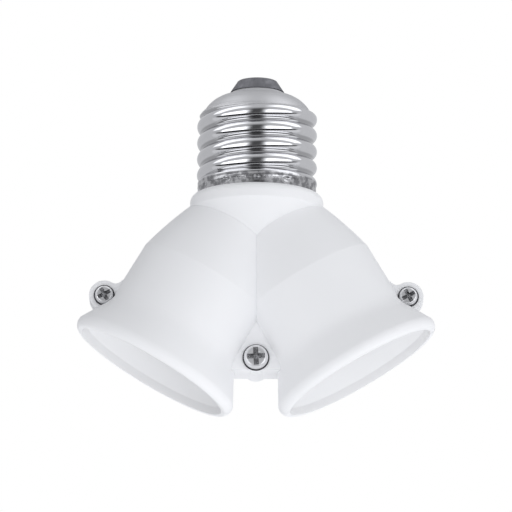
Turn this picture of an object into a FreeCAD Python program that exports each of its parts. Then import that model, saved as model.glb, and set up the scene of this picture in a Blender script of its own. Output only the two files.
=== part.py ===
import FreeCAD, Part
import os
import re
import Sketcher

# Lamp socket adapter: one screw base feeds two sockets that point down and outward.
# Millimetres. The origin is the centre of the collar's top face, +Z runs up the base's axis,
# the screw heads face -Y. Each socket has a frame of its own: its Z axis starts at the
# origin and leaves through the mouth, its X axis points to the other socket.

# Driving sizes: plain numbers, each one set by itself.
SIZES = [
    ("tilt_angle", "30"),            # between a socket's axis and straight down, degrees
    # Housing
    ("collar_radius", "14.5"),
    ("collar_round", "1.8"),
    ("collar_plate", "2"),           # top plate over the core's flange
    ("collar_band", "3.3"),          # height of the collar's upright band, a cone follows below it
    ("collar_slope", "0.61"),        # how far the cone narrows for each unit down
    ("collar_depth", "13.2"),          # the cone goes on this far down, inside the bells
    ("bell_start", "7.5"),           # depth along a socket's axis where the bell's neck starts
    ("neck_radius", "10.3"),
    ("neck_curve", "80"),
    ("ridge_depth", "22"),
    ("bell_wall", "1.2"),
    ("ridge_drop", "0.25"),          # the ridge is this much narrower than the waist
    ("flare_start", "34.8"),
    ("flare_bend", "38.2"),
    ("flare_rise", "1"),             # how far the flare's first bend stands out from the waist
    ("flare_curve", "8"),
    ("lip_start", "42.5"),
    ("lip_rise", "3.4"),
    ("lip_curve", "1.9"),
    ("lip_inset", "2.9"),            # outer edge of the mouth plane beyond the waist
    ("mouth_depth", "45.3"),
    ("mouth_wall", "0.9"),
    ("rim_band", "1.7"),             # depth of the rim's inner band, a cone follows inside it
    ("rim_draft", "0.3"),
    ("web_thickness", "10"),
    ("web_bottom", "39.7"),
    ("web_half_width", "6.6"),
    ("ear_depth", "36.3"),
    ("ear_reach", "17.1"),
    ("ear_radius", "3.3"),
    ("ear_fillet", "1.6"),
    ("ear_thickness", "4.5"),
    ("boss_radius", "2.9"),
    ("boss_depth", "37.1"),
    ("boss_rear", "1.6"),            # how far the boss stands out behind the web
    # Screw base
    ("skirt_radius", "12.9"),
    ("skirt_height", "2.6"),
    ("base_sheet", "0.4"),
    ("thread_root", "12.0"),
    ("thread_crest", "13.1"),
    ("thread_pitch", "3.629"),
    ("thread_first", "2"),       # height of the thread's first crest
    ("thread_bearing", "300"),       # where the thread starts, degrees from +X
    ("thread_turns", "4.85"),
    ("thread_foot", "1.6"),          # half widths of the ridge at its foot, shoulder and crest
    ("thread_hip", "0.85"),
    ("thread_top", "0.35"),
    ("shell_straight", "17.8"),
    ("shell_height", "21.9"),
    ("shell_rim", "7.7"),
    ("shell_curve", "7.1"),          # of the rounded shoulder
    ("dent_count", "12"),
    ("dent_height", "1.1"),
    ("dent_radius", "0.5"),
    ("dent_depth", "0.25"),
    ("core_wall", "2.8"),
    ("core_neck", "11.2"),
    ("flange_radius", "12.3"),
    ("flange_height", "1.6"),
    ("ledge_height", "2"),
    ("ledge_radius", "11.2"),
    ("cone_height", "1.1"),          # insulator between the shell's rim and the tip contact
    ("cap_radius", "5.55"),
    ("cap_top", "4.1"),
    ("cap_height", "2.6"),
    ("stem_radius", "1.4"),
    ("cap_round", "0.5"),
    ("stem_length", "4.2"),
    # Sockets, depths along the socket's axis
    ("sleeve_bore", "13.3"),
    ("sleeve_sheet", "0.8"),
    ("sleeve_top", "21"),
    ("sleeve_cone", "4.5"),
    ("sleeve_mouth", "38.1"),
    ("sleeve_flange", "0.8"),
    ("flange_sheet", "0.6"),
    ("seat_hole", "5.2"),
    ("seat_radius", "9.4"),
    ("seat_ledge", "1.1"),           # depth of the ledge in the housing under the sleeve's flange
    ("ledge_overlap", "1"),
    ("disc_radius", "10.4"),
    ("disc_thickness", "1.5"),
    ("strip_sheet", "0.5"),
    ("strip_bend", "6"),             # half width of a strip's level middle
    ("live_width", "5"),
    ("neutral_width", "2.6"),
    ("strip_end", "1.6"),             # a strip or leaf goes on this far past its rivet
    ("leaf_rivet", "2.8"),
    ("leaf_width", "4"),
    ("leaf_sheet", "0.4"),
    ("leaf_rise", "2"),
    ("leaf_reach", "3.4"),
    ("shell_rivet", "6.6"),
    ("rivet_radius", "0.8"),
    ("rivet_head", "1.3"),
    ("rivet_dome", "0.5"),
    # Wires and joints
    ("wire_radius", "0.7"),
    ("wire_turn", "1.5"),
    ("wire_top", "9.5"),
    ("solder_radius", "1.5"),
    ("solder_height", "0.9"),
    # Screws
    ("ear_head", "2.25"),
    ("ear_head_height", "1.6"),
    ("ear_shank", "1.2"),
    ("ear_length", "4"),
    ("centre_head", "2.9"),
    ("centre_head_height", "2"),
    ("centre_shank", "1.4"),
    ("centre_length", "9.6"),
    ("recess_share", "0.62"),        # length of a recess arm as a share of the head's radius
    ("recess_width", "0.75"),
    ("recess_depth", "1"),
    # Clearances
    ("slip_gap", "0.2"),             # round pieces that slide into each other
    ("face_gap", "0.1"),             # flanges in their grooves
    ("thread_grip", "0.05"),         # screw shanks in their pilot holes
    ("screw_play", "0.3"),           # screw shanks in their clearance holes
]

# Sizes that follow from the driving ones.
FOLLOWING = [
    ("sleeve_outer", "sleeve_bore + sleeve_sheet"),
    ("pocket_radius", "sleeve_outer + slip_gap"),
    ("waist_radius", "pocket_radius + bell_wall"),
    ("ridge_radius", "waist_radius - ridge_drop"),
    ("flange_outer", "sleeve_outer + sleeve_flange"),
    ("groove_radius", "flange_outer + slip_gap"),
    ("groove_start", "sleeve_mouth - flange_sheet - face_gap"),
    ("groove_end", "sleeve_mouth + face_gap"),
    ("opening_radius", "flange_outer - ledge_overlap"),
    ("opening_depth", "groove_end + seat_ledge"),
    ("mouth_edge", "waist_radius + lip_inset"),
    ("mouth_radius", "mouth_edge - mouth_wall"),
    ("flange_seat", "collar_plate + flange_height + 2 * face_gap"),
    ("collar_end", "collar_radius - collar_slope * (collar_depth - collar_band)"),
    ("neck_space", "neck_radius - 1.1 * bell_wall"),
    ("ledge_end", "flange_seat + ledge_height"),
    ("chamber_end", "ledge_radius - collar_slope * (collar_depth - ledge_end)"),
    ("neck_hole", "core_neck + slip_gap"),
    ("ear_x", "ear_depth * sin(tilt_angle * 1 deg) + ear_reach * cos(tilt_angle * 1 deg)"),
    ("ear_z", "ear_reach * sin(tilt_angle * 1 deg) - ear_depth * cos(tilt_angle * 1 deg)"),
    ("fillet_drop", "sqrt((ear_radius + ear_fillet)^2 - (ear_reach - waist_radius - ear_fillet)^2)"),
    ("fillet_share", "ear_radius / (ear_radius + ear_fillet)"),
    ("core_outer", "thread_root - base_sheet - slip_gap"),
    ("core_skirt", "skirt_radius - base_sheet - face_gap"),
    ("cavity_radius", "core_outer - core_wall"),
    ("stem_hole", "stem_radius + face_gap"),
    ("cone_top", "shell_height + cone_height"),
    ("stem_bottom", "cone_top - stem_length"),
    ("disc_top", "sleeve_top - disc_thickness"),
    ("bend_level", "(disc_top - strip_bend * sin(tilt_angle * 1 deg)) / cos(tilt_angle * 1 deg)"),
    ("bend_shift", "strip_sheet * tan(tilt_angle * 0.5 deg)"),
]

document = FreeCAD.newDocument("Adapter")
sheet = document.addObject("Spreadsheet::Sheet", "Sizes")
pieces = []


def fill_sheet():
    """Write the driving sizes as numbers and the following ones as formulas."""
    rows = SIZES + [(name, "=" + rule) for name, rule in FOLLOWING]
    for row, (name, content) in enumerate(rows, start=1):
        sheet.set(f"A{row}", name)
        sheet.set(f"B{row}", content)
        sheet.setAlias(f"B{row}", name)
    document.recompute()


def value(rule):
    """The number that a rule of size names gives."""
    return float(sheet.evalExpression(rule))


def linked(rule):
    """The rule as other objects read it: a size's name is a word with an underscore in it."""
    return re.sub(r"[a-z]+(?:_[a-z]+)+", lambda found: "Sizes." + found.group(), rule)


def bind(thing, **rules):
    """Set properties of an object from rules; two underscores stand for a dot."""
    for name, rule in rules.items():
        thing.setExpression(name.replace("__", "."), linked(rule))
    return thing


def keep(thing, label):
    """Count an object as one sub-part, under the name of its file."""
    thing.Label = label
    pieces.append(thing)
    return thing


# Sketches


def pin(sketch, edge, end, axis, rule):
    """Fix one coordinate of an edge's end by a rule."""
    if rule == "0":
        sketch.addConstraint(Sketcher.Constraint("PointOnObject", edge, end, {"X": -2, "Y": -1}[axis]))
        return
    index = sketch.addConstraint(Sketcher.Constraint("Distance" + axis, edge, end, value(rule)))
    sketch.setExpression(f"Constraints[{index}]", linked(rule))


def curved(start, end, radius, side):
    """Arc from start to end that bulges to the left (side 1) or right (side -1)."""
    chord = end - start
    left = FreeCAD.Vector(-chord.y, chord.x, 0).normalize()
    rise = radius - (radius ** 2 - (chord.Length / 2) ** 2) ** 0.5
    return Part.Arc(start, (start + end) / 2 + left * side * rise, end)


def draw(sketch, corners):
    """Closed outline through corners (x rule, y rule), or with a radius rule and a side for
    the arc that leaves the corner."""
    count = len(corners)
    spots = [FreeCAD.Vector(value(corner[0]), value(corner[1]), 0) for corner in corners]
    ends = []
    for index, corner in enumerate(corners):
        start = spots[index]
        end = spots[(index + 1) % count]
        if len(corner) == 2:
            sketch.addGeometry(Part.LineSegment(start, end))
        else:
            sketch.addGeometry(curved(start, end, value(corner[2]), corner[3]))
        first = sketch.getPoint(index, 1)
        ends.append((1, 2) if (first - start).Length < (first - end).Length else (2, 1))
    for index, corner in enumerate(corners):
        last = (index - 1) % count
        sketch.addConstraint(Sketcher.Constraint("Coincident", last, ends[last][1], index, ends[index][0]))
        pin(sketch, index, ends[index][0], "X", corner[0])
        pin(sketch, index, ends[index][0], "Y", corner[1])
        if len(corner) > 2:
            arc = sketch.addConstraint(Sketcher.Constraint("Radius", index, value(corner[2])))
            sketch.setExpression(f"Constraints[{arc}]", linked(corner[2]))


def origin_part(body, role):
    """One of the body's own origin planes or axes."""
    return next(item for item in body.Origin.OriginFeatures if item.Role == role)


def new_sketch(body, name, role, corners, lift="0"):
    """A sketch on one of the body's own origin planes, lifted along its normal."""
    sketch = body.newObject("Sketcher::SketchObject", name)
    sketch.AttachmentSupport = [(origin_part(body, role), "")]
    sketch.MapMode = "FlatFace"
    if lift != "0":
        bind(sketch, AttachmentOffset__Base__z=lift)
    draw(sketch, corners)
    return sketch


def turned(name, corners):
    """A body turned about its own Z axis from an outline of (radius, height) corners."""
    body = document.addObject("PartDesign::Body", name)
    sketch = new_sketch(body, name + "_outline", "XZ_Plane", corners)
    turn = body.newObject("PartDesign::Revolution", name + "_turn")
    turn.Profile = sketch
    turn.ReferenceAxis = (sketch, ["V_Axis"])
    turn.Angle = 360
    return body


def plate(name, corners, thickness):
    """A body pushed out evenly to both sides of its XZ plane."""
    body = document.addObject("PartDesign::Body", name)
    pad = body.newObject("PartDesign::Pad", name + "_pad")
    pad.Profile = new_sketch(body, name + "_outline", "XZ_Plane", corners)
    pad.SideType = "Symmetric"
    bind(pad, Length=thickness)
    return body


# Placing and combining


def combine(kind, name, first, *others):
    """Part boolean of two or more objects."""
    if kind == "Fuse":
        result = document.addObject("Part::MultiFuse", name)
        result.Shapes = [first, *others]
    else:
        result = document.addObject("Part::" + kind, name)
        result.Base = first
        result.Tool = others[0]
    return result


def group(name, *members):
    result = document.addObject("Part::Compound", name)
    result.Links = list(members)
    return result


def in_socket(thing):
    """Move an object from the right socket's frame into the part's frame."""
    thing.Placement.Rotation = FreeCAD.Rotation(FreeCAD.Vector(0, 1, 0), value("180 - tilt_angle"))
    return bind(thing, Placement__Rotation__Angle="180 - tilt_angle")


def mirrored(thing, name):
    """The same object on the other side of the base's axis."""
    result = document.addObject("Part::Mirroring", name)
    result.Source = thing
    result.Normal = FreeCAD.Vector(1, 0, 0)
    return result


def along_y(name, radius, start, length, x="0", z="0"):
    """A round bar that runs from y = start towards +Y."""
    bar = document.addObject("Part::Cylinder", name)
    bar.Placement.Rotation = FreeCAD.Rotation(FreeCAD.Vector(1, 0, 0), -90)
    bind(bar, Radius=radius, Height=length)
    return bind(bar, Placement__Base__x=x, Placement__Base__y=start, Placement__Base__z=z)


def half_space(name, x_start, y_start):
    """A box that holds all of the part beyond x = x_start and y = y_start."""
    box = document.addObject("Part::Box", name)
    reach = "2 * mouth_depth"
    bind(box, Length="4 * mouth_depth", Width="4 * mouth_depth", Height="4 * mouth_depth")
    return bind(box, Placement__Base__x=x_start, Placement__Base__y=y_start, Placement__Base__z="-" + reach)


# Housing


def both_sides(name, collar, bell, side):
    """A collar and, on each side of the plane x = 0, the part of a bell that lies there."""
    right = combine("Common", name + "_right", bell, side)
    return combine("Fuse", name, collar, right, mirrored(right, name + "_left"))


def ear():
    """Screw ear on the bell's outer side, with concave corners, in the socket's frame."""
    wall = "-waist_radius"
    root = "bell_wall / 2 - waist_radius"
    rest = "ear_reach - (ear_reach - waist_radius - ear_fillet) * fillet_share"
    touch = "fillet_drop * fillet_share"
    corners = [
        (root, "ear_depth - fillet_drop"),
        (root, "ear_depth + fillet_drop"),
        (wall, "ear_depth + fillet_drop", "ear_fillet", 1),
        (f"-({rest})", f"ear_depth + {touch}", "ear_radius", -1),
        ("-ear_reach - ear_radius", "ear_depth", "ear_radius", -1),
        (f"-({rest})", f"ear_depth - {touch}", "ear_fillet", 1),
        (wall, "ear_depth - fillet_drop"),
    ]
    return plate("ear", corners, "ear_thickness")


def housing():
    """Two halves that meet in the plane y = 0."""
    right_side = half_space("right_side", "0", "-2 * mouth_depth")
    collar = turned("collar", [
        ("0", "0"),
        ("0", "-collar_depth"),
        ("collar_end", "-collar_depth"),
        ("collar_radius", "-collar_band"),
        ("collar_radius", "-collar_round", "collar_round", -1),
        ("collar_radius - collar_round", "0"),
    ])
    bell = turned("bell", [
        ("0", "bell_start"),
        ("0", "mouth_depth"),
        ("mouth_edge", "mouth_depth", "lip_curve", 1),
        ("waist_radius + lip_rise", "lip_start"),
        ("waist_radius + flare_rise", "flare_bend", "flare_curve", -1),
        ("waist_radius", "flare_start"),
        ("ridge_radius", "ridge_depth", "neck_curve", 1),
        ("neck_radius", "bell_start"),
    ])
    eared = in_socket(combine("Fuse", "eared_bell", bell, ear()))
    outside = both_sides("outside", collar, eared, right_side)
    web = document.addObject("Part::Box", "web")
    bind(web, Length="2 * web_half_width", Width="web_thickness", Height="web_bottom - ridge_depth")
    bind(web, Placement__Base__x="-web_half_width", Placement__Base__y="-web_thickness / 2")
    bind(web, Placement__Base__z="-web_bottom")
    boss = along_y("boss", "boss_radius", "-web_thickness / 2", "web_thickness + boss_rear", z="-boss_depth")
    solid = combine("Fuse", "solid", outside, web, boss)

    collar_space = turned("collar_space", [
        ("0", "collar_plate"),
        ("0", "-collar_depth"),
        ("chamber_end", "-collar_depth"),
        ("ledge_radius", "-ledge_end"),
        ("ledge_radius", "-flange_seat"),
        ("flange_radius + slip_gap", "-flange_seat"),
        ("flange_radius + slip_gap", "-collar_plate"),
        ("neck_hole", "-collar_plate"),
        ("neck_hole", "collar_plate"),
    ])
    pocket = turned("pocket", [
        ("0", "bell_start"),
        ("0", "mouth_depth + mouth_wall"),
        ("mouth_radius", "mouth_depth + mouth_wall"),
        ("mouth_radius", "mouth_depth"),
        ("mouth_radius - rim_draft", "mouth_depth - rim_band"),
        ("opening_radius", "opening_depth"),
        ("opening_radius", "groove_end"),
        ("groove_radius", "groove_end"),
        ("groove_radius", "groove_start"),
        ("pocket_radius", "groove_start"),
        ("pocket_radius", "ridge_depth", "neck_curve", 1),
        ("neck_space", "bell_start"),
    ])
    under_ledge = document.addObject("Part::Box", "under_ledge")
    bind(under_ledge, Length="4 * mouth_depth", Width="4 * mouth_depth", Height="2 * mouth_depth")
    bind(under_ledge, Placement__Base__y="-2 * mouth_depth")
    bind(under_ledge, Placement__Base__z="-ledge_end - 2 * mouth_depth")
    space = both_sides("space", collar_space, in_socket(pocket), under_ledge)
    hollow = combine("Cut", "hollow", solid, space)

    front = "-web_thickness / 2"
    ear_front = "-ear_thickness / 2"
    ear_play = along_y("ear_play", "ear_shank + screw_play", ear_front, "ear_thickness / 2", "ear_x", "ear_z")
    ear_pilot = along_y("ear_pilot", "ear_shank + thread_grip", "0",
                        "ear_length - ear_thickness / 2 + screw_play", "ear_x", "ear_z")
    ear_seat = along_y("ear_seat", "ear_head + screw_play", f"{ear_front} - 2 * ear_head_height",
                       "2 * ear_head_height", "ear_x", "ear_z")
    ear_drill = combine("Fuse", "ear_drill", ear_play, ear_seat)
    centre_play = along_y("centre_play", "centre_shank + screw_play", front, "web_thickness / 2",
                          z="-boss_depth")
    centre_seat = along_y("centre_seat", "centre_head + screw_play", f"{front} - 2 * centre_head_height",
                          "2 * centre_head_height", z="-boss_depth")
    centre_pilot = along_y("centre_pilot", "centre_shank + thread_grip", "0",
                           "centre_length - web_thickness / 2 + screw_play", z="-boss_depth")
    left_ear_drill = mirrored(ear_drill, "left_ear_drill")
    front_holes = combine("Fuse", "front_holes", ear_drill, left_ear_drill, centre_play, centre_seat)
    rear_holes = combine("Fuse", "rear_holes", ear_pilot, mirrored(ear_pilot, "left_ear_pilot"), centre_pilot)

    rear_side = half_space("rear_side", "-2 * mouth_depth", "0")
    front_half = combine("Cut", "front_half", hollow, rear_side)
    rear_half = combine("Common", "rear_half", hollow, rear_side)
    keep(combine("Cut", "front_shell", front_half, front_holes), "front_housing")
    keep(combine("Cut", "rear_shell", rear_half, rear_holes), "rear_housing")


# Screw base


def base_shell():
    """Rolled sheet: plain skirt with staking dents, helical thread, and a shoulder at the top."""
    body = turned("rolled", [
        ("skirt_radius", "0"),
        ("skirt_radius", "skirt_height"),
        ("thread_root", "skirt_height + skirt_radius - thread_root"),
        ("thread_root", "shell_straight", "shell_curve", -1),
        ("shell_rim", "shell_height"),
        ("shell_rim - base_sheet", "shell_height - base_sheet", "shell_curve - base_sheet", 1),
        ("thread_root - base_sheet", "shell_straight - base_sheet / 2"),
        ("thread_root - base_sheet", "skirt_height + skirt_radius - thread_root - base_sheet / 2"),
        ("skirt_radius - base_sheet", "skirt_height - base_sheet / 2"),
        ("skirt_radius - base_sheet", "0"),
    ])
    dent = body.newObject("PartDesign::SubtractiveSphere", "dent")
    dent.AttachmentSupport = [(origin_part(body, "XY_Plane"), "")]
    dent.MapMode = "FlatFace"
    bind(dent, Radius="dent_radius", AttachmentOffset__Base__z="dent_height")
    bind(dent, AttachmentOffset__Base__y="dent_depth - skirt_radius - dent_radius")
    dents = body.newObject("PartDesign::PolarPattern", "dents")
    dents.Originals = [dent]
    dents.Axis = (origin_part(body, "Z_Axis"), [""])
    dents.Angle = 360
    bind(dents, Occurrences="dent_count")
    body.Tip = dents

    thread = document.addObject("PartDesign::Body", "thread")
    hip = "(thread_root + thread_crest) / 2"
    foot = "thread_root - 0.7 * base_sheet"
    middle = "thread_root - base_sheet / 2"
    ridge = new_sketch(thread, "ridge", "XZ_Plane", [
        (foot, "-thread_foot"),
        (hip, "-thread_hip"),
        ("thread_crest", "-thread_top"),
        ("thread_crest", "thread_top"),
        (hip, "thread_hip"),
        (foot, "thread_foot"),
    ])
    helix = thread.newObject("PartDesign::AdditiveHelix", "helix")
    helix.Profile = ridge
    helix.ReferenceAxis = (ridge, ["V_Axis"])
    helix.Mode = "pitch-turns-angle"
    bind(helix, Pitch="thread_pitch", Turns="thread_turns")
    thread.Placement.Rotation = FreeCAD.Rotation(FreeCAD.Vector(0, 0, 1), value("thread_bearing"))
    bind(thread, Placement__Rotation__Angle="thread_bearing", Placement__Base__z="thread_first")

    run_out = turned("run_out", [
        ("skirt_radius - base_sheet / 2", "face_gap"),
        ("skirt_radius", "face_gap"),
        ("thread_crest", "thread_first"),
        ("thread_crest", "shell_straight - thread_hip"),
        ("thread_root", "shell_straight"),
        (middle, "shell_straight"),
        (middle, "skirt_height + skirt_radius - thread_root - face_gap"),
        ("skirt_radius - base_sheet / 2", "skirt_height - face_gap"),
    ])
    cut_thread = combine("Common", "cut_thread", thread, run_out)
    keep(combine("Fuse", "threaded", body, cut_thread), "base_screw_shell")


def base_core():
    """Insulator inside the screw shell, with a flange that the collar's groove holds."""
    bottom = "-collar_plate - flange_height - face_gap"
    roof = "shell_height - core_wall"
    rim = "shell_rim - base_sheet - face_gap"
    body = turned("core", [
        ("stem_hole", "cone_top"),
        ("stem_hole", roof),
        ("2 * stem_hole", roof),
        ("cavity_radius", "shell_straight - core_wall"),
        ("cavity_radius", bottom),
        ("flange_radius", bottom),
        ("flange_radius", "-collar_plate - face_gap"),
        ("core_neck", "-collar_plate - face_gap"),
        ("core_neck", "0"),
        ("core_skirt", "0"),
        ("core_skirt", "skirt_height - base_sheet / 2 - slip_gap"),
        ("core_outer", "skirt_height + core_skirt - core_outer - base_sheet / 2 - slip_gap"),
        ("core_outer", "shell_straight - base_sheet / 2 - slip_gap",
         "shell_curve - base_sheet - slip_gap", -1),
        (rim, "shell_height - base_sheet - slip_gap"),
        (rim, "shell_height"),
        ("cap_radius", "cone_top"),
    ])
    wire_hole = along_y("wire_hole", "wire_radius + slip_gap", "0", "skirt_radius", z="wire_top")
    keep(combine("Cut", "drilled_core", body, wire_hole), "base_core")


def tip_contact():
    """Centre contact cap with the stem that goes through the core."""
    top = "cone_top + cap_height"
    keep(turned("cap", [
        ("0", top),
        ("cap_top - cap_round", top, "cap_round", 1),
        ("cap_top", f"{top} - cap_round"),
        ("cap_radius", "cone_top"),
        ("stem_radius", "cone_top"),
        ("stem_radius", "stem_bottom"),
        ("0", "stem_bottom"),
    ]), "tip_contact")


# Sockets, made once in the right socket's frame and mirrored


def drill(name, x, y):
    """A rivet's hole, along the socket's axis and through all of its floor."""
    bar = document.addObject("Part::Cylinder", name)
    bind(bar, Radius="rivet_radius + thread_grip", Height="sleeve_top")
    return bind(bar, Placement__Base__x=x, Placement__Base__y=y, Placement__Base__z="sleeve_top / 2")


def rivet(name, top, bottom, x, y):
    """A rivet whose two heads close on the depths top and bottom."""
    body = turned(name, [
        ("0", f"{top} - rivet_dome"),
        ("rivet_head / 2", f"{top} - rivet_dome"),
        ("rivet_head", top),
        ("rivet_radius", top),
        ("rivet_radius", bottom),
        ("rivet_head", bottom),
        ("rivet_head / 2", f"{bottom} + rivet_dome"),
        ("0", f"{bottom} + rivet_dome"),
    ])
    return bind(body, Placement__Base__x=x, Placement__Base__y=y)


def both(thing, label):
    """Keep a piece of the right socket and the same piece in the left one."""
    keep(in_socket(thing), "right_" + label)
    keep(mirrored(thing, "left_" + thing.Name), "left_" + label)


def socket_parts():
    """Threaded sleeve, insulating floor and springy contact of each socket."""
    leaf_hole = drill("leaf_hole", "-leaf_rivet", "0")
    ring_holes = [drill("rear_hole", "0", "shell_rivet"), drill("front_hole", "0", "-shell_rivet")]
    sleeve = turned("sleeve", [
        ("seat_hole", "sleeve_top"),
        ("seat_radius", "sleeve_top"),
        ("sleeve_outer", "sleeve_top + sleeve_cone"),
        ("sleeve_outer", "sleeve_mouth - flange_sheet"),
        ("flange_outer", "sleeve_mouth - flange_sheet"),
        ("flange_outer", "sleeve_mouth"),
        ("sleeve_bore", "sleeve_mouth"),
        ("sleeve_bore", "sleeve_top + sleeve_cone + sleeve_sheet / 2"),
        ("seat_radius - sleeve_sheet / 2", "sleeve_top + flange_sheet"),
        ("seat_hole", "sleeve_top + flange_sheet"),
    ])
    ring_drill = combine("Fuse", "ring_drill", *ring_holes)
    both(combine("Cut", "sleeve_drilled", sleeve, ring_drill), "socket_shell")

    disc = turned("disc", [
        ("0", "disc_top"),
        ("disc_radius - disc_thickness / 3", "disc_top"),
        ("disc_radius", "disc_top + disc_thickness / 3"),
        ("disc_radius", "sleeve_top"),
        ("0", "sleeve_top"),
    ])
    floor_drill = combine("Fuse", "floor_drill", leaf_hole, *ring_holes)
    both(combine("Cut", "disc_drilled", disc, floor_drill), "socket_floor")

    start = "-leaf_rivet - strip_end"
    bend = "strip_end - leaf_rivet"
    lean = "0.4 * leaf_sheet"
    leaf = plate("leaf", [
        (start, "sleeve_top"),
        (bend, "sleeve_top"),
        ("strip_end / 4", "sleeve_top + leaf_rise"),
        ("leaf_reach", "sleeve_top + leaf_rise - leaf_sheet"),
        ("leaf_reach", "sleeve_top + leaf_rise"),
        (f"strip_end / 4 - {lean}", "sleeve_top + leaf_rise + leaf_sheet"),
        (f"{bend} - {lean}", "sleeve_top + leaf_sheet"),
        (start, "sleeve_top + leaf_sheet"),
    ], "leaf_width")
    both(combine("Cut", "leaf_drilled", leaf, leaf_hole), "contact_leaf")

    through = in_socket(group("leaf_drills", leaf_hole))
    live = combine("Fuse", "live_drills", through, mirrored(through, "left_leaf_drills"))
    through = in_socket(group("ring_drills", ring_holes[0]))
    neutral = combine("Fuse", "neutral_drills", through, mirrored(through, "left_ring_drills"))
    return live, neutral


def rivets():
    """Rivets of the leaves with the live strip, and of the sleeves with the neutral strip."""
    plain_top = "disc_top"
    strip_top = "disc_top - strip_sheet"
    leaf_face = "sleeve_top + leaf_sheet"
    ring_face = "sleeve_top + flange_sheet"
    leaf = rivet("leaf_rivet_body", strip_top, leaf_face, "-leaf_rivet", "0")
    contact = in_socket(group("right_contact_rivet", leaf))
    keep(group("contact_rivet_pair", contact, mirrored(contact, "left_contact_rivet")), "contact_rivets")
    rear = rivet("rear_rivet", strip_top, ring_face, "0", "shell_rivet")
    front = rivet("front_rivet", plain_top, ring_face, "0", "-shell_rivet")
    ring = in_socket(group("right_shell_rivets", rear, front))
    keep(group("shell_rivet_set", ring, mirrored(ring, "left_shell_rivets")), "shell_rivets")


# Strips, wires and solder


def strip(name, end, width, y, holes):
    """Strip with a level middle and two ends that lie on the socket floors; end is how far it
    goes past the socket's axis."""
    tilt = "tilt_angle * 1 deg"
    shallow = "(disc_top - strip_sheet)"
    low_x = f"disc_top * sin({tilt}) + ({end}) * cos({tilt})"
    low_z = f"({end}) * sin({tilt}) - disc_top * cos({tilt})"
    high_x = f"{shallow} * sin({tilt}) + ({end}) * cos({tilt})"
    high_z = f"({end}) * sin({tilt}) - {shallow} * cos({tilt})"
    body = plate(name, [
        ("-strip_bend", "-bend_level"),
        ("strip_bend", "-bend_level"),
        (low_x, low_z),
        (high_x, high_z),
        ("strip_bend - bend_shift", "strip_sheet - bend_level"),
        ("bend_shift - strip_bend", "strip_sheet - bend_level"),
        (f"-({high_x})", high_z),
        (f"-({low_x})", low_z),
    ], width)
    bind(body, Placement__Base__y=y)
    return combine("Cut", name + "_drilled", body, holes)


def upright(name, radius, start, end, y):
    """A round bar along +Z from height start to height end."""
    bar = document.addObject("Part::Cylinder", name)
    bind(bar, Radius=radius, Height=f"{end} - ({start})")
    return bind(bar, Placement__Base__y=y, Placement__Base__z=start)


def wiring(live_holes, neutral_holes):
    """Strips between the sockets and the wires up to the screw base."""
    keep(strip("live_bar", "leaf_rivet + strip_end", "live_width", "0", live_holes), "live_strip")
    keep(strip("neutral_bar", "strip_end", "neutral_width", "shell_rivet", neutral_holes), "neutral_strip")
    level = "strip_sheet - bend_level"
    live = keep(upright("live_rise", "wire_radius", level, "stem_bottom", "0"), "live_wire")

    rise = upright("neutral_rise", "wire_radius", level, "wire_top - wire_turn", "shell_rivet")
    turn = document.addObject("Part::Torus", "neutral_turn")
    turn.Angle3 = 90
    across, up = FreeCAD.Vector(0, -1, 0), FreeCAD.Vector(0, 0, 1)
    turn.Placement.Rotation = FreeCAD.Rotation(across, up, FreeCAD.Vector(), "XYZ")
    bind(turn, Radius1="wire_turn", Radius2="wire_radius", Placement__Base__y="shell_rivet + wire_turn")
    bind(turn, Placement__Base__z="wire_top - wire_turn")
    run = along_y("neutral_run", "wire_radius", "shell_rivet + wire_turn",
                  "thread_root - base_sheet - face_gap - shell_rivet - wire_turn", z="wire_top")
    neutral = keep(combine("Fuse", "neutral_path", rise, turn, run), "neutral_wire")

    beads = []
    spots = [("live_bead", "0", level, "1"), ("neutral_bead", "shell_rivet", level, "1"),
             ("stem_bead", "0", "stem_bottom", "-1")]
    for name, y, height, way in spots:
        bead = document.addObject("Part::Cone", name)
        narrow = "wire_radius + slip_gap"
        wide = "solder_radius" if way == "1" else "stem_radius"
        foot = height if way == "1" else f"{height} - solder_height"
        first, second = (wide, narrow) if way == "1" else (narrow, wide)
        bind(bead, Radius1=first, Radius2=second, Height="solder_height", Placement__Base__y=y)
        bind(bead, Placement__Base__z=foot)
        beads.append(combine("Cut", name + "_ring", bead, neutral if y == "shell_rivet" else live))
    keep(group("beads", *beads), "solder_joints")


# Screws


def screw(name, head, head_height, shank, length):
    """Pan-head screw with a cross recess; its head stands on z = 0 and its shank runs down."""
    body = turned(name, [
        ("0", head_height),
        (f"{head} / 2", head_height, f"0.6 * {head}", 1),
        (head, f"0.3 * {head_height}"),
        (head, "0"),
        (shank, "0"),
        (shank, f"{shank} - {length}"),
        (f"{shank} / 4", f"-{length}"),
        ("0", f"-{length}"),
    ])
    arm = f"recess_share * {head}"
    side = "recess_width / 2"
    cross = new_sketch(body, name + "_cross", "XY_Plane", [
        (side, side), (side, arm), (f"-{side}", arm), (f"-{side}", side),
        (f"-{arm}", side), (f"-{arm}", f"-{side}"), (f"-{side}", f"-{side}"), (f"-{side}", f"-{arm}"),
        (side, f"-{arm}"), (side, f"-{side}"), (arm, f"-{side}"), (arm, side),
    ], lift=head_height)
    recess = body.newObject("PartDesign::Pocket", name + "_recess")
    recess.Profile = cross
    bind(recess, Length="recess_depth")
    return body


def face_front(body, x, y, z):
    """Turn a screw so that its head faces -Y, and put the underside of the head in place."""
    body.Placement.Rotation = FreeCAD.Rotation(FreeCAD.Vector(1, 0, 0), 90)
    return bind(body, Placement__Base__x=x, Placement__Base__y=y, Placement__Base__z=z)


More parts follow.
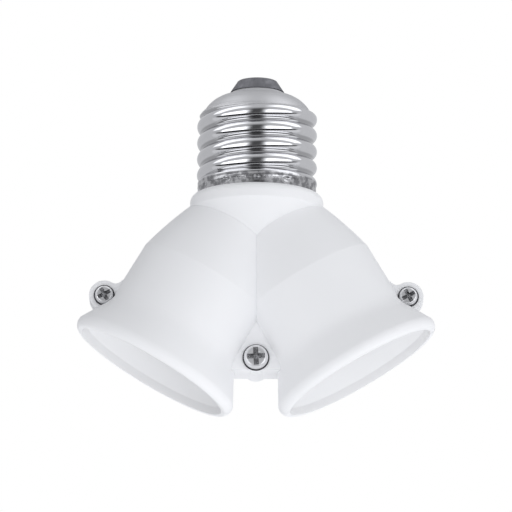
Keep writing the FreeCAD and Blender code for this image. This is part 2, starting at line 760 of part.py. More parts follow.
def screws():
    """Two screws through the ears and a larger one through the web."""
    ear_screw = screw("ear_screw", "ear_head", "ear_head_height", "ear_shank", "ear_length")
    face_front(ear_screw, "ear_x", "-ear_thickness / 2", "ear_z")
    keep(group("ear_screw_pair", ear_screw, mirrored(ear_screw, "left_ear_screw")), "ear_screws")
    centre = screw("centre_body", "centre_head", "centre_head_height", "centre_shank", "centre_length")
    keep(face_front(centre, "0", "-web_thickness / 2", "-boss_depth"), "centre_screw")


def check():
    """Stop if an object failed or a sub-part is null or broken."""
    failed = [item.Name for item in document.Objects if {"Invalid", "Error"} & set(item.State)]
    failed += [piece.Label for piece in pieces if piece.Shape.isNull() or not piece.Shape.isValid()]
    if failed:
        raise RuntimeError("failed: " + ", ".join(failed))


fill_sheet()
housing()
base_shell()
base_core()
tip_contact()
wiring(*socket_parts())
rivets()
screws()
document.recompute()
check()
os.makedirs("parts", exist_ok=True)
for piece in pieces:
    piece.Shape.exportStep(f"parts/{piece.Label}.step")
    print(piece.Label, len(piece.Shape.Solids), "solids", round(piece.Shape.Volume, 2), "mm3")
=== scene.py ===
"""The lamp socket adapter as photographed: white housing, nickel screw base and three screws."""
import math

import bmesh
import bpy
from mathutils import Matrix, Vector


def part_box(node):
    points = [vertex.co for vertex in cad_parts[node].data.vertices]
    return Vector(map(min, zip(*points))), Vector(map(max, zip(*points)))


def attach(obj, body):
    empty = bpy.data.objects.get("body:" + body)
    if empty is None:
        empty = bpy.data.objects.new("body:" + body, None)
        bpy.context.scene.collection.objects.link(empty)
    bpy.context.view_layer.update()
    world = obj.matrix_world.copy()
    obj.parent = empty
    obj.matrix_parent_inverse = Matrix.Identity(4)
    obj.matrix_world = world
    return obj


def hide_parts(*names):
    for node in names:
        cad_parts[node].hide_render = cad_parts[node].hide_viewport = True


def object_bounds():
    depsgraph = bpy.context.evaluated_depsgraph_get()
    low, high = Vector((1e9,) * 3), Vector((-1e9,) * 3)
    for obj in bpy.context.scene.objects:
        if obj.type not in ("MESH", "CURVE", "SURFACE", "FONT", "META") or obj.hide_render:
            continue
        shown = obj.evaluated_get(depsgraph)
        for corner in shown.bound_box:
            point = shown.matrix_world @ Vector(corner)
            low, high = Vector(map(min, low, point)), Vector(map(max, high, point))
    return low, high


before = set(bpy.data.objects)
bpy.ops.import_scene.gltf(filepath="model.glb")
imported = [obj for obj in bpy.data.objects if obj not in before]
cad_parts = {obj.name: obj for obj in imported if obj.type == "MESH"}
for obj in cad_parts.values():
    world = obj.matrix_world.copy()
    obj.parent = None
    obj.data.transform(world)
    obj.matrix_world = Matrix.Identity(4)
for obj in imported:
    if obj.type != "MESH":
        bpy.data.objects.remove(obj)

CAD_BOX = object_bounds()
MM = 0.001
SQUARE = ((-1, -1), (1, -1), (1, 1), (-1, 1))


# Camera: the photograph looks up at the adapter from a little below it

PHOTO_SIZE = 512
PIXELS_PER_MM = 4.6
LOOK_UP = math.radians(12.85)
PHOTO_ROLL = math.radians(0.3)
LOOK_AT = Vector((-0.0001, 0, -0.01345))
CAMERA_DISTANCE = 1.4
SENSOR = 36.0
NEAREST = 0.01
FARTHEST = 100.0


def camera():
    """The camera at the photograph's viewing angle."""
    lens = bpy.data.cameras.new("camera")
    seen_width = PHOTO_SIZE / PIXELS_PER_MM * MM
    lens.sensor_width = SENSOR
    lens.lens = SENSOR * CAMERA_DISTANCE / seen_width
    lens.clip_start = NEAREST
    lens.clip_end = FARTHEST
    eye = bpy.data.objects.new("camera", lens)
    eye.location = LOOK_AT + CAMERA_DISTANCE * Vector((0, -math.cos(LOOK_UP), -math.sin(LOOK_UP)))
    direction = LOOK_AT - eye.location
    turn = direction.to_track_quat("-Z", "Y").to_matrix() @ Matrix.Rotation(PHOTO_ROLL, 3, "Z")
    eye.rotation_euler = turn.to_euler()
    bpy.context.scene.collection.objects.link(eye)
    bpy.context.scene.camera = eye


# Node helpers

def put(tree, socket, value):
    """Sets an input to a number or a colour, or links it to an output."""
    if isinstance(value, bpy.types.NodeSocket):
        tree.links.new(value, socket)
    else:
        socket.default_value = value


def maths(tree, operation, *values):
    """A Math node's result."""
    node = tree.nodes.new("ShaderNodeMath")
    node.operation = operation
    for socket, value in zip(node.inputs, values):
        put(tree, socket, value)
    return node.outputs[0]


def spread(tree, value, low, high, start=0.0, end=1.0, smooth=True):
    """Value's way from low to high, turned into start to end."""
    node = tree.nodes.new("ShaderNodeMapRange")
    node.interpolation_type = "SMOOTHSTEP" if smooth else "LINEAR"
    names = ("Value", "From Min", "From Max", "To Min", "To Max")
    for name, number in zip(names, (value, low, high, start, end)):
        put(tree, node.inputs[name], number)
    return node.outputs["Result"]


def between(tree, value, low, high, edge):
    """One where value lies from low to high, falling to nothing over an edge of that width."""
    rise = spread(tree, value, low - edge / 2, low + edge / 2)
    fall = spread(tree, value, high - edge / 2, high + edge / 2, 1.0, 0.0)
    return maths(tree, "MULTIPLY", rise, fall)


def weighted(tree, share, first, second):
    """A number between two, by share."""
    return spread(tree, share, 0.0, 1.0, first, second, smooth=False)


def blended(tree, share, first, second):
    """A colour between two, by share."""
    node = tree.nodes.new("ShaderNodeMix")
    node.data_type = "RGBA"
    put(tree, node.inputs["Factor"], share)
    put(tree, node.inputs["A"], first)
    put(tree, node.inputs["B"], second)
    return node.outputs["Result"]


# Studio: soft even light from all around, a little stronger from below, from the right and from
# the front. What the metal mirrors is a pale tent with bright panels at the front left and right
# and a dark gap where the camera stands.

SOFT_LIGHT = 0.785
FROM_RIGHT = 0.21
FROM_ABOVE = -0.31
FROM_FRONT = 0.15
BACKDROP = 1.0
WHITE = (1.0, 1.0, 1.0, 1.0)
COOL_WHITE = (0.962, 0.972, 1.0, 1.0)

# How far a direction lies to either side of the middle, in degrees: each pair is a soft edge
GAP_SIDE = (5, 24)
PANEL_SIDE = (66, 72)
FLOOR_SIDE = (74, 86)

# How far a direction has turned up from the front, in degrees: from, to, edge, and the level there
UNDERNEATH = (-112, -76, 8, 0.8)
FLOOR_EDGE = (-72, -44, 6, 0.0)
LOWER_PANEL = (-42, 6, 6, 2.2)
UPPER_PANEL = (58, 106, 14, 1.7)
GAP = (-52, 34, 44, 0.08)
BEHIND_FROM = (105, 125)
BEHIND = 0.66
TENT = 0.62
TENT_LEFT = 0.95
TENT_RIGHT = 1.05


def mirrored(tree, x, front, z):
    """The level of the tent that the metal mirrors, by direction."""
    side = maths(tree, "ABSOLUTE", maths(tree, "DEGREES", maths(tree, "ARCSINE", x)))
    over = maths(tree, "DEGREES", maths(tree, "ARCTAN2", z, front))
    gap = spread(tree, side, *GAP_SIDE, 1.0, 0.0)
    inward = spread(tree, side, *PANEL_SIDE, 1.0, 0.0)
    beside = maths(tree, "MULTIPLY", spread(tree, side, *GAP_SIDE), inward)
    below = spread(tree, side, *FLOOR_SIDE, 1.0, 0.0)
    level = TENT
    for mask, (low, high, edge, strength) in (
        (below, UNDERNEATH),
        (below, FLOOR_EDGE),
        (beside, LOWER_PANEL),
        (beside, UPPER_PANEL),
        (gap, GAP),
    ):
        share = maths(tree, "MULTIPLY", mask, between(tree, over, low, high, edge))
        level = weighted(tree, share, level, strength)
    behind = spread(tree, maths(tree, "ABSOLUTE", over), *BEHIND_FROM)
    level = weighted(tree, behind, level, BEHIND)
    across = spread(tree, x, -1.0, 1.0, TENT_LEFT, TENT_RIGHT, smooth=False)
    return maths(tree, "MULTIPLY", level, across)


def studio():
    """The light of the room by direction, and a plain white backdrop behind the object."""
    world = bpy.data.worlds.new("studio")
    bpy.context.scene.world = world
    world.use_nodes = True
    tree = world.node_tree
    tree.nodes.clear()
    place = tree.nodes.new("ShaderNodeTexCoord")
    split = tree.nodes.new("ShaderNodeSeparateXYZ")
    tree.links.new(place.outputs["Generated"], split.inputs[0])
    x, y, z = split.outputs
    front = maths(tree, "MULTIPLY", y, -1.0)
    soft = SOFT_LIGHT
    for way, more in ((x, FROM_RIGHT), (front, FROM_FRONT), (z, FROM_ABOVE)):
        soft = maths(tree, "MULTIPLY_ADD", way, more, soft)

    seen = tree.nodes.new("ShaderNodeLightPath")
    straight = seen.outputs["Is Camera Ray"]
    lit = weighted(tree, seen.outputs["Is Glossy Ray"], soft, mirrored(tree, x, front, z))
    room = tree.nodes.new("ShaderNodeBackground")
    put(tree, room.inputs["Color"], blended(tree, straight, COOL_WHITE, WHITE))
    put(tree, room.inputs["Strength"], weighted(tree, straight, lit, BACKDROP))
    output = tree.nodes.new("ShaderNodeOutputWorld")
    tree.links.new(room.outputs[0], output.inputs[0])
    bpy.context.scene.view_settings.view_transform = "Standard"


FLOOR_DROP = 1.5
FLOOR_REACH = 30.0
FLOOR_COLOUR = (0.93, 0.93, 0.935)
FLOOR_ROUGHNESS = 0.8


def floor():
    """A plain pale floor far below, which only the camera sees."""
    mesh = bpy.data.meshes.new("floor")
    level = CAD_BOX[0][2] - FLOOR_DROP
    corners = [(x * FLOOR_REACH, y * FLOOR_REACH, level) for x, y in SQUARE]
    mesh.from_pydata(corners, [], [(0, 1, 2, 3)])
    mesh.materials.append(surface("floor", FLOOR_COLOUR, FLOOR_ROUGHNESS)[0])
    plane = bpy.data.objects.new("floor", mesh)
    bpy.context.scene.collection.objects.link(plane)
    plane.visible_diffuse = False
    plane.visible_glossy = False
    plane.visible_shadow = False


# Materials

NOISE_RANGE = (0.3, 0.7)
GRAIN_DETAIL = 3.0
CLOUD_DETAIL = 4.0
SPOT_DETAIL = 5.0


def surface(name, colour, roughness, metallic=0.0):
    """A material with a Principled shader, its tree and the shader."""
    material = bpy.data.materials.new(name)
    material.use_nodes = True
    tree = material.node_tree
    shader = tree.nodes["Principled BSDF"]
    put(tree, shader.inputs["Base Color"], (*colour, 1.0))
    put(tree, shader.inputs["Roughness"], roughness)
    put(tree, shader.inputs["Metallic"], metallic)
    return material, tree, shader


def here(tree):
    """The point of the object that is shaded, in metres."""
    return tree.nodes.new("ShaderNodeTexCoord").outputs["Object"]


def noise(tree, size, detail, stretch=(1, 1, 1)):
    """Even noise with lumps of that size, in metres."""
    scaled = tree.nodes.new("ShaderNodeMapping")
    put(tree, scaled.inputs["Vector"], here(tree))
    put(tree, scaled.inputs["Scale"], stretch)
    node = tree.nodes.new("ShaderNodeTexNoise")
    put(tree, node.inputs["Vector"], scaled.outputs[0])
    put(tree, node.inputs["Scale"], 1 / size)
    put(tree, node.inputs["Detail"], detail)
    return node.outputs["Fac"]


def bump(tree, shader, height, distance):
    """Shades the surface by a height field."""
    node = tree.nodes.new("ShaderNodeBump")
    put(tree, node.inputs["Height"], height)
    put(tree, node.inputs["Distance"], distance)
    put(tree, node.inputs["Strength"], 1.0)
    tree.links.new(node.outputs[0], shader.inputs["Normal"])
    return node


def shades(colour, change):
    """A darker and a lighter form of a colour."""
    return [(*(max(0.0, min(1.0, part * factor)) for part in colour), 1.0)
            for factor in (1 - change, 1 + change)]


FLOW_SIZE = 9 * MM
PLASTIC_SHINE = 0.45
PLASTIC_GLOSS_CHANGE = 0.05
BEVEL_SAMPLES = 6
GLOW_SHARE = 0.35
GLOW_DEPTH = 1.0 * MM


def moulded(name, colour, roughness, change=0.012, grain=0.35 * MM, depth=0.012 * MM, edge=0.0):
    """Moulded plastic with a fine eroded grain and faint flow marks.

    With an edge, its edges look rounded by that much and light goes a little way into it.
    """
    material, tree, shader = surface(name, colour, roughness)
    low, high = shades(colour, change)
    flow = noise(tree, FLOW_SIZE, GRAIN_DETAIL)
    put(tree, shader.inputs["Base Color"], blended(tree, flow, low, high))
    fine = noise(tree, grain, GRAIN_DETAIL)
    smoother, rougher = roughness - PLASTIC_GLOSS_CHANGE, roughness + PLASTIC_GLOSS_CHANGE
    dull = spread(tree, fine, *NOISE_RANGE, smoother, rougher)
    put(tree, shader.inputs["Roughness"], dull)
    put(tree, shader.inputs["Specular IOR Level"], PLASTIC_SHINE)
    relief = bump(tree, shader, fine, depth)
    if edge:
        rounded = tree.nodes.new("ShaderNodeBevel")
        rounded.samples = BEVEL_SAMPLES
        put(tree, rounded.inputs["Radius"], edge)
        tree.links.new(rounded.outputs[0], relief.inputs["Normal"])
        put(tree, shader.inputs["Subsurface Weight"], GLOW_SHARE)
        put(tree, shader.inputs["Subsurface Scale"], GLOW_DEPTH)
        put(tree, shader.inputs["Subsurface Radius"], (1.0, 1.0, 1.0))
    return material


CLOUD_SIZE = 1.2 * MM
CLOUD_GLOSS = (0.8, 1.25)
MARK_SIZE = 0.5 * MM
MARK_STRETCH = (1, 1, 6)


def plated(name, colour, roughness, change=0.05, depth=0.004 * MM, metallic=1.0):
    """Plated or drawn metal with faint marks of rolling and slightly uneven gloss."""
    material, tree, shader = surface(name, colour, roughness, metallic)
    low, high = shades(colour, change)
    cloud = noise(tree, CLOUD_SIZE, CLOUD_DETAIL)
    put(tree, shader.inputs["Base Color"], blended(tree, cloud, low, high))
    smoother, rougher = CLOUD_GLOSS
    dull = spread(tree, cloud, *NOISE_RANGE, roughness * smoother, roughness * rougher)
    put(tree, shader.inputs["Roughness"], dull)
    bump(tree, shader, noise(tree, MARK_SIZE, GRAIN_DETAIL, MARK_STRETCH), depth)
    return material


# The screw shell's places: the skirt ends, the dome starts, and the thread's roots lie this far out
SKIRT_TOP = 2.6 * MM
DOME_START = 17.8 * MM
ROOT_RADIUS = 12.15 * MM

NICKEL = (0.70, 0.70, 0.715)
NICKEL_CHANGE = 0.04
NICKEL_CLOUD = 1.5 * MM
# Painted shade: the nickel turns darker towards the thread's roots, where the crests shade it
ROOT_SHADE_NICKEL = (0.44, 0.44, 0.45, 1.0)
DOME_NICKEL = (0.56, 0.56, 0.57, 1.0)
STAKED_DARK = (0.24, 0.24, 0.25, 1.0)
STAKED_LIGHT = (0.53, 0.53, 0.54, 1.0)
STAKED_SPOT = 1.3 * MM
STAKED_RANGE = (0.4, 0.6)
THREAD_ROUGHNESS = 0.1
DOME_ROUGHNESS = 0.5
STAKED_ROUGHNESS = 0.24
LUMP_SIZE = 0.7 * MM
LUMP_HEIGHT = 0.03 * MM
THREAD_LUMPS = 0.08
STAKED_LUMPS = 0.6
SKIRT_EDGE = (SKIRT_TOP - 0.3 * MM, SKIRT_TOP + 0.3 * MM)
DOME_EDGE = (DOME_START - 0.4 * MM, DOME_START + 0.2 * MM)
# Where the painted shade of the thread's roots fades out
ROOT_SHADE_EDGE = (ROOT_RADIUS + 0.05 * MM, ROOT_RADIUS + 0.4 * MM)


def base_nickel():
    """The screw shell: bright on the thread but for painted shade in its roots, mottled on the
    staked skirt, satin on the dome.
    """
    material, tree, shader = surface("base_nickel", NICKEL, THREAD_ROUGHNESS, 1.0)
    split = tree.nodes.new("ShaderNodeSeparateXYZ")
    put(tree, split.inputs[0], here(tree))
    flat = tree.nodes.new("ShaderNodeCombineXYZ")
    put(tree, flat.inputs["X"], split.outputs["X"])
    put(tree, flat.inputs["Y"], split.outputs["Y"])
    reach = tree.nodes.new("ShaderNodeVectorMath")
    reach.operation = "LENGTH"
    put(tree, reach.inputs[0], flat.outputs[0])
    skirt = spread(tree, split.outputs["Z"], *SKIRT_EDGE, 1.0, 0.0)
    dome = spread(tree, split.outputs["Z"], *DOME_EDGE)
    root = spread(tree, reach.outputs["Value"], *ROOT_SHADE_EDGE, 1.0, 0.0)

    low, high = shades(NICKEL, NICKEL_CHANGE)
    bright = blended(tree, noise(tree, NICKEL_CLOUD, CLOUD_DETAIL), low, high)
    # Painted shade in the thread's roots: darker nickel near the root radius
    bright = blended(tree, root, bright, ROOT_SHADE_NICKEL)
    bright = blended(tree, dome, bright, DOME_NICKEL)
    spots = spread(tree, noise(tree, STAKED_SPOT, SPOT_DETAIL), *STAKED_RANGE)
    staked = blended(tree, spots, STAKED_DARK, STAKED_LIGHT)
    put(tree, shader.inputs["Base Color"], blended(tree, skirt, bright, staked))
    dull = weighted(tree, dome, THREAD_ROUGHNESS, DOME_ROUGHNESS)
    put(tree, shader.inputs["Roughness"], weighted(tree, skirt, dull, STAKED_ROUGHNESS))
    depth = weighted(tree, skirt, THREAD_LUMPS, STAKED_LUMPS)
    lumps = maths(tree, "MULTIPLY", noise(tree, LUMP_SIZE, GRAIN_DETAIL), depth)
    bump(tree, shader, lumps, LUMP_HEIGHT)
    return material


def materials():
    """All finishes by name."""
    # Colour, roughness, change of colour, size of the grain (moulded only), depth of the grain
    return {
        "housing": moulded("housing", (0.952, 0.956, 0.968), 0.5, edge=0.2 * MM),
        "nickel": base_nickel(),
        "insulator": moulded("insulator", (0.60, 0.60, 0.615), 0.62, 0.03, 0.3 * MM, 0.02 * MM),
        "fibre": moulded("fibre", (0.42, 0.30, 0.19), 0.7, 0.08, 0.5 * MM, 0.02 * MM),
        "contact_metal": plated("contact_metal", (0.21, 0.21, 0.225), 0.6, 0.12, 0.02 * MM),
        "sleeve": plated("sleeve", (0.72, 0.70, 0.66), 0.24),
        "brass": plated("brass", (0.80, 0.62, 0.30), 0.25),
        "live_insulation": moulded("live_insulation", (0.24, 0.07, 0.05), 0.5),
        "neutral_insulation": moulded("neutral_insulation", (0.75, 0.76, 0.78), 0.5),
        "solder": plated("solder", (0.66, 0.66, 0.67), 0.4, 0.1, 0.03 * MM),
        "screw_steel": plated("screw_steel", (0.8, 0.8, 0.81), 0.22, metallic=0.5),
        # Near-black: a painted shadow gap around the foot of each screw head
        "painted_shadow_rim": plated("painted_shadow_rim", (0.045, 0.045, 0.05), 0.5, 0.2, 0.01 * MM),
        # Darker than the head steel: painted shade inside the cross recess; its bumps catch the
        # glints
        "shaded_recess_steel": plated("shaded_recess_steel", (0.4, 0.4, 0.41), 0.12, 0.6, 0.2 * MM, metallic=0.9),
    }


# Meshes

SAME_POINT = 1e-7


def solid(name, mesh, finishes, node):
    """A piece in place of a CAD node."""
    piece = bpy.data.objects.new(name, mesh)
    bpy.context.scene.collection.objects.link(piece)
    for finish in finishes:
        mesh.materials.append(finish)
    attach(piece, "root")
    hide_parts(node)


def unchanged(r, z, angle, row):
    """The radius of the outline itself."""
    return r


def lathe(name, outline, segments, radius=unchanged, matrix=Matrix.Identity(4)):
    """A closed outline of (r, z) turned about Z.

    radius(r, z, angle, row) gives each point's distance from Z.
    """
    made = bmesh.new()
    rings = []
    for row, (r, z) in enumerate(outline):
        ring = []
        for step in range(segments):
            angle = 2 * math.pi * step / segments
            reach = radius(r, z, angle, row)
            point = Vector((reach * math.cos(angle), reach * math.sin(angle), z))
            ring.append(made.verts.new(matrix @ point))
        rings.append(ring)
    for row, ring in enumerate(rings):
        above = rings[(row + 1) % len(rings)]
        for step in range(segments):
            after = (step + 1) % segments
            made.faces.new((ring[step], ring[after], above[after], above[step]))
    bmesh.ops.remove_doubles(made, verts=made.verts, dist=SAME_POINT)
    bmesh.ops.recalc_face_normals(made, faces=made.faces)
    return meshed(name, made)


def meshed(name, made):
    """The mesh of what was made."""
    mesh = bpy.data.meshes.new(name)
    made.to_mesh(mesh)
    made.free()
    return mesh


def smooth(mesh, sharp_past):
    """Smooth shading with sharp edges past an angle in degrees."""
    mesh.polygons.foreach_set("use_smooth", [True] * len(mesh.polygons))
    mesh.set_sharp_from_angle(angle=math.radians(sharp_past))


def evenly(start, end, count):
    """Numbers from start up to, not including, end."""
    return [start + (end - start) * step / count for step in range(count)]


def eased(value):
    """A smooth way from 0 to 1."""
    value = max(0.0, min(1.0, value))
    return value * value * (3 - 2 * value)


# Screw base

PITCH = 3.629 * MM
THREAD_DEPTH = 0.92 * MM
CREST_SHARE = 0.7
FIRST_CREST = 2.58 * MM
THREAD_START = SKIRT_TOP / 2
THREAD_END = DOME_START + 1.1 * MM
THREAD_FADE = 1.4 * MM
SKIRT_RADIUS = 12.9 * MM
SHOULDER_END = 3.7 * MM
SHEET = 0.4 * MM
DENTS = 12
DENT_HEIGHT = 1.15 * MM
DENT_RADIUS = 0.62 * MM
DENT_DEPTH = 0.24 * MM
DENT_FULLNESS = 0.8
DOME_CENTRE = (5.40 * MM, 15.18 * MM)
DOME_CURVE = 7.1 * MM
DOME_INSIDE_FROM = DOME_START + 0.5 * MM
RINGS = (20.5 * MM, 21.3 * MM)
RING_DEPTH = 0.06 * MM
RING_HALF_WIDTH = 0.15 * MM
SKIRT_ROWS = 28
THREAD_ROWS = 160
DOME_ROWS = 36
INNER_ROWS = 50
INNER_DOME_EVERY = 4
SHELL_SEGMENTS = 240


def rolled(offset, depth, crest_share):
    """How high a rolled thread of round crests and roots stands at an offset from a crest."""
    offset %= PITCH
    offset = min(offset, PITCH - offset)
    slope = 2 * math.atan(2 * depth / PITCH)
    reach = crest_share * PITCH / 2
    if offset < reach:
        curve = reach / math.sin(slope)
        return depth - curve + math.sqrt(curve ** 2 - offset ** 2)
    curve = (PITCH / 2 - reach) / math.sin(slope)
    return curve - math.sqrt(curve ** 2 - (PITCH / 2 - offset) ** 2)


def shell_radius(z, angle):
    """The outer radius of the screw shell at a height and angle."""
    shoulder = eased((z - SKIRT_TOP) / (SHOULDER_END - SKIRT_TOP))
    wall = SKIRT_RADIUS - (SKIRT_RADIUS - ROOT_RADIUS) * shoulder
    turned = z - FIRST_CREST - PITCH * angle / (2 * math.pi)
    height = rolled(turned, THREAD_DEPTH, CREST_SHARE) * eased((THREAD_END - z) / THREAD_FADE)
    reach = max(wall, ROOT_RADIUS + height) if z > THREAD_START else wall
    if z > DOME_START:
        dome = DOME_CENTRE[0] + math.sqrt(DOME_CURVE ** 2 - (z - DOME_CENTRE[1]) ** 2)
        reach = min(reach, dome + height)
        for level in RINGS:
            reach -= RING_DEPTH * max(0.0, 1 - abs(z - level) / RING_HALF_WIDTH)
    return reach


def dented(z, angle):
    """How deep a staking dent is at a height and angle."""
    step = 2 * math.pi / DENTS
    off = (angle + step / 2) % step - step / 2
    away = math.hypot(off * SKIRT_RADIUS, z - DENT_HEIGHT) / DENT_RADIUS
    return DENT_DEPTH * math.cos(away * math.pi / 2) ** DENT_FULLNESS if away < 1 else 0.0


def screw_shell(finish):
    """The rolled sheet of the screw base, with its thread, skirt and dome."""
    low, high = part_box("base_screw_shell")
    start = math.asin((DOME_START - DOME_CENTRE[1]) / DOME_CURVE)
    end = math.asin((high.z - DOME_CENTRE[1]) / DOME_CURVE)
    dome = [DOME_CENTRE[1] + DOME_CURVE * math.sin(turn) for turn in evenly(start, end, DOME_ROWS)]
    thread = evenly(SKIRT_TOP, DOME_START, THREAD_ROWS)
    outer = evenly(low.z, SKIRT_TOP, SKIRT_ROWS) + thread + dome + [high.z]
    inner = evenly(low.z, DOME_START, INNER_ROWS) + dome[::INNER_DOME_EVERY]
    outline = [(1, z) for z in outer]
    outline += [(0, z - SHEET if z > DOME_INSIDE_FROM else z) for z in reversed(inner)]

    def radius(outside, z, angle, row):
        return shell_radius(z, angle) - (dented(z, angle) if outside else SHEET)

    mesh = lathe("screw_shell", outline, SHELL_SEGMENTS, radius)
    smooth(mesh, sharp_past=60)
    solid("screw_shell", mesh, [finish], "base_screw_shell")


CAP_FOOT = 5.9 * MM
CAP_TOP = 4.5 * MM
CAP_HEIGHT = 2.6 * MM
CAP_ROUND = 0.5 * MM
CAP_EDGE = 0.1 * MM
CAP_ARC = (90, 20)
CAP_ARC_STEPS = 8
CAP_SEGMENTS = 128
STEM_RADIUS = 1.4 * MM


def tip_cap(finish):
    """The centre contact with its rounded top edge, and its stem."""
    low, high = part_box("tip_contact")
    foot = high.z - CAP_HEIGHT
    outline = [(0.0, high.z)]
    for step in range(CAP_ARC_STEPS + 1):
        turn = math.radians(CAP_ARC[0] + (CAP_ARC[1] - CAP_ARC[0]) * step / CAP_ARC_STEPS)
        outline.append((CAP_TOP - CAP_ROUND + CAP_ROUND * math.cos(turn),
                        high.z - CAP_ROUND + CAP_ROUND * math.sin(turn)))
    outline += [(CAP_FOOT, foot + CAP_EDGE), (CAP_FOOT, foot)]
    outline += [(STEM_RADIUS, foot), (STEM_RADIUS, low.z), (0.0, low.z)]
    mesh = lathe("tip_cap", outline, CAP_SEGMENTS)
    smooth(mesh, sharp_past=35)
    solid("tip_cap", mesh, [finish], "tip_contact")


# Sockets

SOCKET_TILT = math.radians(30)
SLEEVE_BORE = 13.3 * MM
SLEEVE_OUTER = 14.1 * MM
SLEEVE_SHEET = 0.3 * MM
SLEEVE_TOP = 21.0 * MM
SLEEVE_CONE = 25.5 * MM
SLEEVE_MOUTH = 38.1 * MM
SLEEVE_THREAD = (SLEEVE_CONE + 0.8 * MM, SLEEVE_MOUTH - 1.0 * MM)
SLEEVE_CREST_SHARE = 0.5
SLEEVE_ROWS = 110
SLEEVE_BACK_EVERY = 2
SLEEVE_SEGMENTS = 192
# How far across and along the flare of the mouth and the inside of the cone lie
MOUTH_FLARE = (0.2 * MM, 0.6 * MM)
CONE_INSIDE = (0.45 * MM, 0.3 * MM)
SEAT_HOLE = 5.2 * MM
SEAT_RADIUS = 9.4 * MM
SEAT_INSIDE = 0.3 * MM
FLANGE_OUTER = 14.9 * MM
FLANGE_SHEET = 0.6 * MM


def socket_frame(way):
    """The right (1) or left (-1) socket's frame: Z out of its mouth, X towards the other socket."""
    out = Vector((way * math.sin(SOCKET_TILT), 0, -math.cos(SOCKET_TILT)))
    across = Vector((-way * math.cos(SOCKET_TILT), 0, -math.sin(SOCKET_TILT)))
    return Matrix((across, out.cross(across), out)).transposed().to_4x4()


def sleeve(name, way, finish):
    """A socket's threaded sleeve: a right-handed rolled thread between its seat and its flange."""
    wave = SLEEVE_OUTER - SLEEVE_BORE - SLEEVE_SHEET
    rows = evenly(*SLEEVE_THREAD, SLEEVE_ROWS)
    threaded = [(SLEEVE_BORE, z) for z in rows]
    back = [(SLEEVE_BORE + SLEEVE_SHEET, z) for z in reversed(rows[::SLEEVE_BACK_EVERY])]
    flange = [
        (SLEEVE_BORE + wave, SLEEVE_MOUTH - MOUTH_FLARE[1]),
        (SLEEVE_BORE + wave + MOUTH_FLARE[0], SLEEVE_MOUTH),
        (FLANGE_OUTER, SLEEVE_MOUTH),
        (FLANGE_OUTER, SLEEVE_MOUTH - FLANGE_SHEET),
        (SLEEVE_OUTER, SLEEVE_MOUTH - FLANGE_SHEET),
    ]
    seat = [
        (SLEEVE_OUTER, SLEEVE_CONE),
        (SEAT_RADIUS, SLEEVE_TOP),
        (SEAT_HOLE, SLEEVE_TOP),
        (SEAT_HOLE, SLEEVE_TOP + FLANGE_SHEET),
        (SEAT_RADIUS - SEAT_INSIDE, SLEEVE_TOP + FLANGE_SHEET),
        (SLEEVE_OUTER - CONE_INSIDE[0], SLEEVE_CONE + CONE_INSIDE[1]),
    ]
    outline = threaded + flange + back + seat
    waved = [1] * len(threaded) + [0] * len(flange) + [1] * len(back) + [0] * len(seat)

    def radius(r, z, angle, row):
        if not waved[row]:
            return r
        return r + wave - rolled(z - PITCH * angle / (2 * math.pi), wave, SLEEVE_CREST_SHARE)

    mesh = lathe(name, outline, SLEEVE_SEGMENTS, radius, socket_frame(way))
    smooth(mesh, sharp_past=50)
    solid(name, mesh, [finish], name.replace("sleeve", "socket_shell"))


# Screws: head radius, head height, shank radius, length below it, the cross's turn in degrees

CENTRE_SCREW = (2.9 * MM, 2.0 * MM, 1.4 * MM, 9.6 * MM, 3)
EAR_SCREW = (2.25 * MM, 1.6 * MM, 1.2 * MM, 4.0 * MM, 28)
HEAD_EDGE = 0.25 * MM
EDGE_HEIGHT = 0.3 * MM
EDGE_SIDE = 0.7
CROWN_SHARE = 0.72
CROWN_FULLNESS = 0.8
CROWN_STEPS = 14
# How far out on the head's lower side the painted shadow begins, as a share of the crown's edge
SHADOW_RIM_FROM = 0.995
SCREW_PITCH = 0.9 * MM
SCREW_THREAD = 0.28 * MM
SCREW_FLANK = 2.6
SCREW_NECK = -0.4 * MM
SCREW_FADE = 0.4 * MM
SCREW_ROWS = 90
SCREW_SEGMENTS = 64
POINT_START = 0.8
POINT_TIP = 0.3
RECESS_DEPTH = 1.1 * MM
RECESS_REACH = 0.74
RECESS_WIDTH = 0.19
# The punch goes past the head, where it is this much longer and wider, to its narrow tip
PUNCH_ABOVE = 0.5 * MM
PUNCH_TOP = (1.2, 1.15)
PUNCH_TIP = (0.3, 0.6)
# The places in a screw's mesh of the near-black painted shadow on the rim and of the recess steel
# darkened as painted shade
SHADOW_RIM = 1
RECESS_SHADE = 2


def punch(head, top):
    """One arm pair of the cross recess as a body to cut with, narrower at its tip."""
    made = bmesh.new()
    length, width = RECESS_REACH * head, RECESS_WIDTH * head
    upper, lower = (
        [made.verts.new((x * length * longer, y * width * wider, z)) for x, y in SQUARE]
        for z, (longer, wider) in ((top + PUNCH_ABOVE, PUNCH_TOP), (top - RECESS_DEPTH, PUNCH_TIP))
    )
    made.faces.new(upper)
    made.faces.new(reversed(lower))
    for step in range(4):
        after = (step + 1) % 4
        made.faces.new((lower[step], lower[after], upper[after], upper[step]))
    for face in made.faces:
        # The recess faces take the steel darkened as painted shade
        face.material_index = RECESS_SHADE
    return meshed("punch", made)


def crossed(mesh, tool_mesh, turn):
    """The mesh with both arm pairs of the recess cut out of its head."""
    base = bpy.data.objects.new("screw", mesh)
    bpy.context.scene.collection.objects.link(base)
    for quarter in (0, 90):
        tool = bpy.data.objects.new("punch", tool_mesh)
        bpy.context.scene.collection.objects.link(tool)
        tool.rotation_euler.z = math.radians(turn + quarter)
        cut = base.modifiers.new("recess", "BOOLEAN")
        cut.operation = "DIFFERENCE"
        cut.solver = "EXACT"
        cut.object = tool
        bpy.context.view_layer.update()
        whole = base.evaluated_get(bpy.context.evaluated_depsgraph_get())
        result = bpy.data.meshes.new_from_object(whole)
        base.modifiers.clear()
        base.data = result
        bpy.data.objects.remove(tool)
    finished = base.data
    bpy.data.objects.remove(base)
    return finished


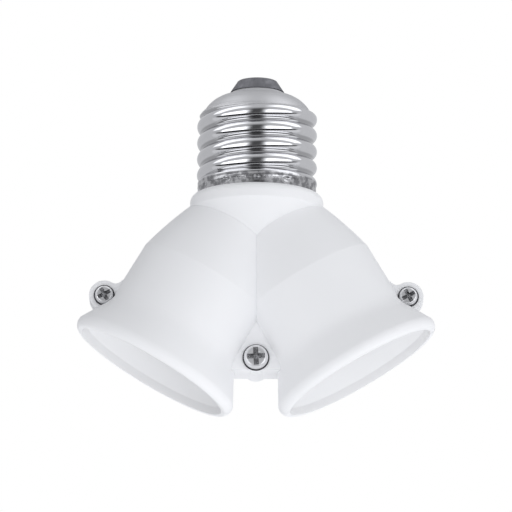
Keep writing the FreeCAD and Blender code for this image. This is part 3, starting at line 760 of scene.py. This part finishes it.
def screw_mesh(head, height, shank, length, turn, steels):
    """A pan-head screw along Z with a cross recess and a near-black rim painted as the shadow gap
    under the head, its head standing on z = 0.
    """
    inner = head - HEAD_EDGE
    crown = CROWN_SHARE * inner
    outline = [(0.0, height)]
    for step in range(CROWN_STEPS):
        share = math.radians(90 * step / CROWN_STEPS)
        drop = (height - EDGE_HEIGHT) * math.cos(share) ** CROWN_FULLNESS
        outline.append((crown + (inner - crown) * math.sin(share), EDGE_HEIGHT + drop))
    outline.append((inner, EDGE_HEIGHT))
    outline += [(head, EDGE_HEIGHT * EDGE_SIDE), (head, 0.0), (shank, 0.0)]
    threads = evenly(SCREW_NECK, shank * POINT_START - length, SCREW_ROWS)
    first = len(outline)
    outline += [(shank, z) for z in threads]
    outline += [(shank * POINT_TIP, -length), (0.0, -length)]

    def radius(r, z, angle, row):
        if not first <= row < first + len(threads):
            return r
        way = ((z - SCREW_PITCH * angle / (2 * math.pi)) / SCREW_PITCH) % 1
        root = min(1.0, abs(way - 0.5) * SCREW_FLANK) * eased((SCREW_NECK - z) / SCREW_FADE)
        return r - SCREW_THREAD * root

    mesh = lathe("screw", outline, SCREW_SEGMENTS, radius)
    smooth(mesh, sharp_past=40)
    tool_mesh = punch(head, height)
    for steel in steels:
        mesh.materials.append(steel)
        tool_mesh.materials.append(steel)
    for face in mesh.polygons:
        reach = math.hypot(face.center.x, face.center.y)
        # Painted shadow: the lowest band of the head's side turns near-black, as the gap under it
        # is shaded
        if face.center.z < EDGE_HEIGHT and reach > inner * SHADOW_RIM_FROM:
            face.material_index = SHADOW_RIM
    return crossed(mesh, tool_mesh, turn)


def screw_piece(name, node, size, places, steels):
    """The piece of a screw node, with a screw that faces -Y at each of the places along X."""
    low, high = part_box(node)
    mesh = screw_mesh(*size, steels)
    made = bmesh.new()
    for x in places:
        point = Vector((x, low.y + size[1], (low.z + high.z) / 2))
        copy = mesh.copy()
        copy.transform(Matrix.Translation(point) @ Matrix.Rotation(math.radians(90), 4, "X"))
        made.from_mesh(copy)
        bpy.data.meshes.remove(copy)
    solid(name, meshed(name, made), steels, node)


def screws(finishes):
    """The larger screw in the web and the two in the ears."""
    steels = [finishes[name] for name in ("screw_steel", "painted_shadow_rim", "shaded_recess_steel")]
    low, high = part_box("centre_screw")
    screw_piece("web_screw", "centre_screw", CENTRE_SCREW, [(low.x + high.x) / 2], steels)
    low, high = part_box("ear_screws")
    places = [low.x + EAR_SCREW[0], high.x - EAR_SCREW[0]]
    screw_piece("side_screws", "ear_screws", EAR_SCREW, places, steels)


# All CAD nodes by finish

DRESSED = {
    "housing": ("front_housing", "rear_housing"),
    "nickel": ("base_screw_shell",),
    "insulator": ("base_core",),
    "contact_metal": ("tip_contact",),
    "sleeve": ("right_socket_shell", "left_socket_shell"),
    "fibre": ("right_socket_floor", "left_socket_floor"),
    "brass": ("right_contact_leaf", "left_contact_leaf", "live_strip", "neutral_strip",
              "contact_rivets", "shell_rivets"),
    "live_insulation": ("live_wire",),
    "neutral_insulation": ("neutral_wire",),
    "solder": ("solder_joints",),
    "screw_steel": ("ear_screws", "centre_screw"),
}


def dress(finishes):
    """Gives every CAD node its finish."""
    for finish, nodes in DRESSED.items():
        for node in nodes:
            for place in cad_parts[node].material_slots:
                place.material = finishes[finish]


camera()
studio()
floor()
finishes = materials()
dress(finishes)
screw_shell(finishes["nickel"])
tip_cap(finishes["contact_metal"])
sleeve("right_sleeve", 1, finishes["sleeve"])
sleeve("left_sleeve", -1, finishes["sleeve"])
screws(finishes)
